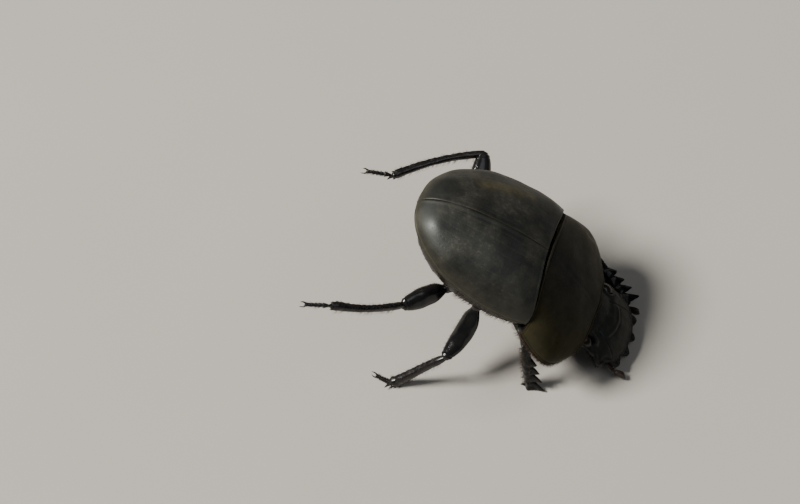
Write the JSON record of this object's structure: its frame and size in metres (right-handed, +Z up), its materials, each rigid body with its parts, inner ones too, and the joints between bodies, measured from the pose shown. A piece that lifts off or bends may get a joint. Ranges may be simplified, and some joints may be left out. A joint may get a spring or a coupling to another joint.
{
  "type": "dung beetle model",
  "caption": "Still life-size ball-rolling dung beetle, head down on its fore and mid legs, hind legs raised, broad black shell, toothed shovel head.",
  "frame": {"origin": "on the floor, in the middle of the footprint's bounding box", "axes": "+X towards the head, +Y to the beetle's left, +Z up"},
  "size_m": [0.0368, 0.031, 0.0234],
  "materials": {
    "dorsal_shell": "matt charcoal shell with an olive dust film and very fine grain",
    "ventral_shell": "satin black-brown shell",
    "leg_shell": "glossy black shell, grey dust on the shins",
    "eye_shell": "glossy dark brown, finely faceted",
    "antenna_shell": "satin dark red-brown"
  },
  "bodies": {
    "root": {"head": "dorsal_shell", "mouthparts": "ventral_shell", "pronotum": "dorsal_shell", "prosternum": "ventral_shell", "thorax_under": "ventral_shell", "abdomen": "ventral_shell", "pygidium": "ventral_shell", "eye_left": "eye_shell", "antenna_left": "antenna_shell", "antenna_club_left": "antenna_shell", "elytron_left": "dorsal_shell", "coxa_fore_left": "leg_shell", "femur_fore_left": "leg_shell", "tibia_fore_left": "leg_shell", "coxa_mid_left": "leg_shell", "femur_mid_left": "leg_shell", "tibia_mid_left": "leg_shell", "tarsus_mid_left": "leg_shell", "coxa_hind_left": "leg_shell", "femur_hind_left": "leg_shell", "tibia_hind_left": "leg_shell", "tarsus_hind_left": "leg_shell", "eye_right": "eye_shell", "antenna_right": "antenna_shell", "antenna_club_right": "antenna_shell", "elytron_right": "dorsal_shell", "coxa_fore_right": "leg_shell", "femur_fore_right": "leg_shell", "tibia_fore_right": "leg_shell", "coxa_mid_right": "leg_shell", "femur_mid_right": "leg_shell", "tibia_mid_right": "leg_shell", "tarsus_mid_right": "leg_shell", "coxa_hind_right": "leg_shell", "femur_hind_right": "leg_shell", "tibia_hind_right": "leg_shell", "tarsus_hind_right": "leg_shell"}
  },
  "joints": []
}
